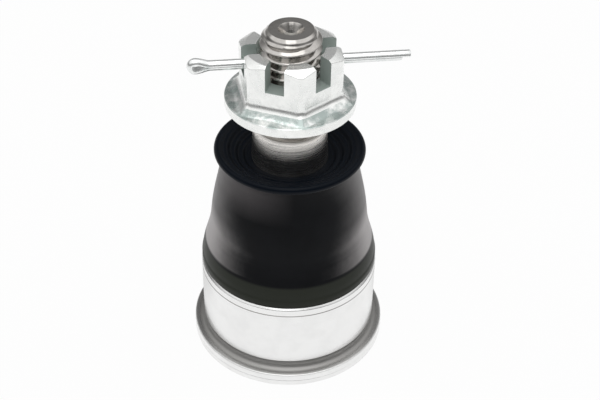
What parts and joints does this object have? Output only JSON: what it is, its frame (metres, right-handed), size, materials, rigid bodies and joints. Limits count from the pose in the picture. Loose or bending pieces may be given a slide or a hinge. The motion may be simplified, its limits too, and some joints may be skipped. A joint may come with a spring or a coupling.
{
  "type": "suspension ball joint",
  "caption": "Press-in suspension ball joint: flanged socket, swivelling tapered stud, rubber dust boot, castellated nut and split pin.",
  "frame": {"origin": "the ball's centre, on the axis of the press-fit cylinder", "axes": "+Z along the stud from the ball to the nut, X along the split pin with its eye at -X"},
  "size_m": [0.0531, 0.0502, 0.0897],
  "materials": {
    "housing": "satin machined steel, zinc plated",
    "stud": "bare turned steel",
    "zinc": "bright zinc plate",
    "hidden_steel": "pressed spring or sheet steel",
    "bearing": "moulded bearing plastic",
    "boot": "satin black moulded rubber"
  },
  "bodies": {
    "socket": {"socket_housing": "housing", "upper_bearing": "bearing", "lower_bearing": "bearing", "preload_washer": "hidden_steel", "closing_plate": "hidden_steel", "boot_base_ring": "hidden_steel"},
    "boot": {"dust_boot": "boot"},
    "boot_neck": {"boot_neck_ring": "hidden_steel"},
    "stud": {"ball_stud": "stud", "castle_nut": "zinc"},
    "split_pin": {"cotter_pin": "zinc"}
  },
  "joints": [
    {"name": "stud_swing_x", "type": "hinge", "parent": "socket", "child": "boot", "pos_m": [0, 0, 0], "axis": [1, 0, 0], "range_deg": [-16, 16], "deforming": ["dust_boot"]},
    {"name": "stud_swing_y", "type": "hinge", "parent": "boot", "child": "boot_neck", "pos_m": [0, 0, 0], "axis": [0, 1, 0], "range_deg": [-16, 16], "deforming": ["dust_boot"]},
    {"name": "stud_spin", "type": "hinge", "parent": "boot_neck", "child": "stud", "pos_m": [0, 0, 0], "axis": [0, 0, 1], "continuous": true},
    {"name": "cotter_pin_pull", "type": "slide", "parent": "stud", "child": "split_pin", "axis": [-1, 0, 0], "range_m": [0, 0.055]}
  ]
}
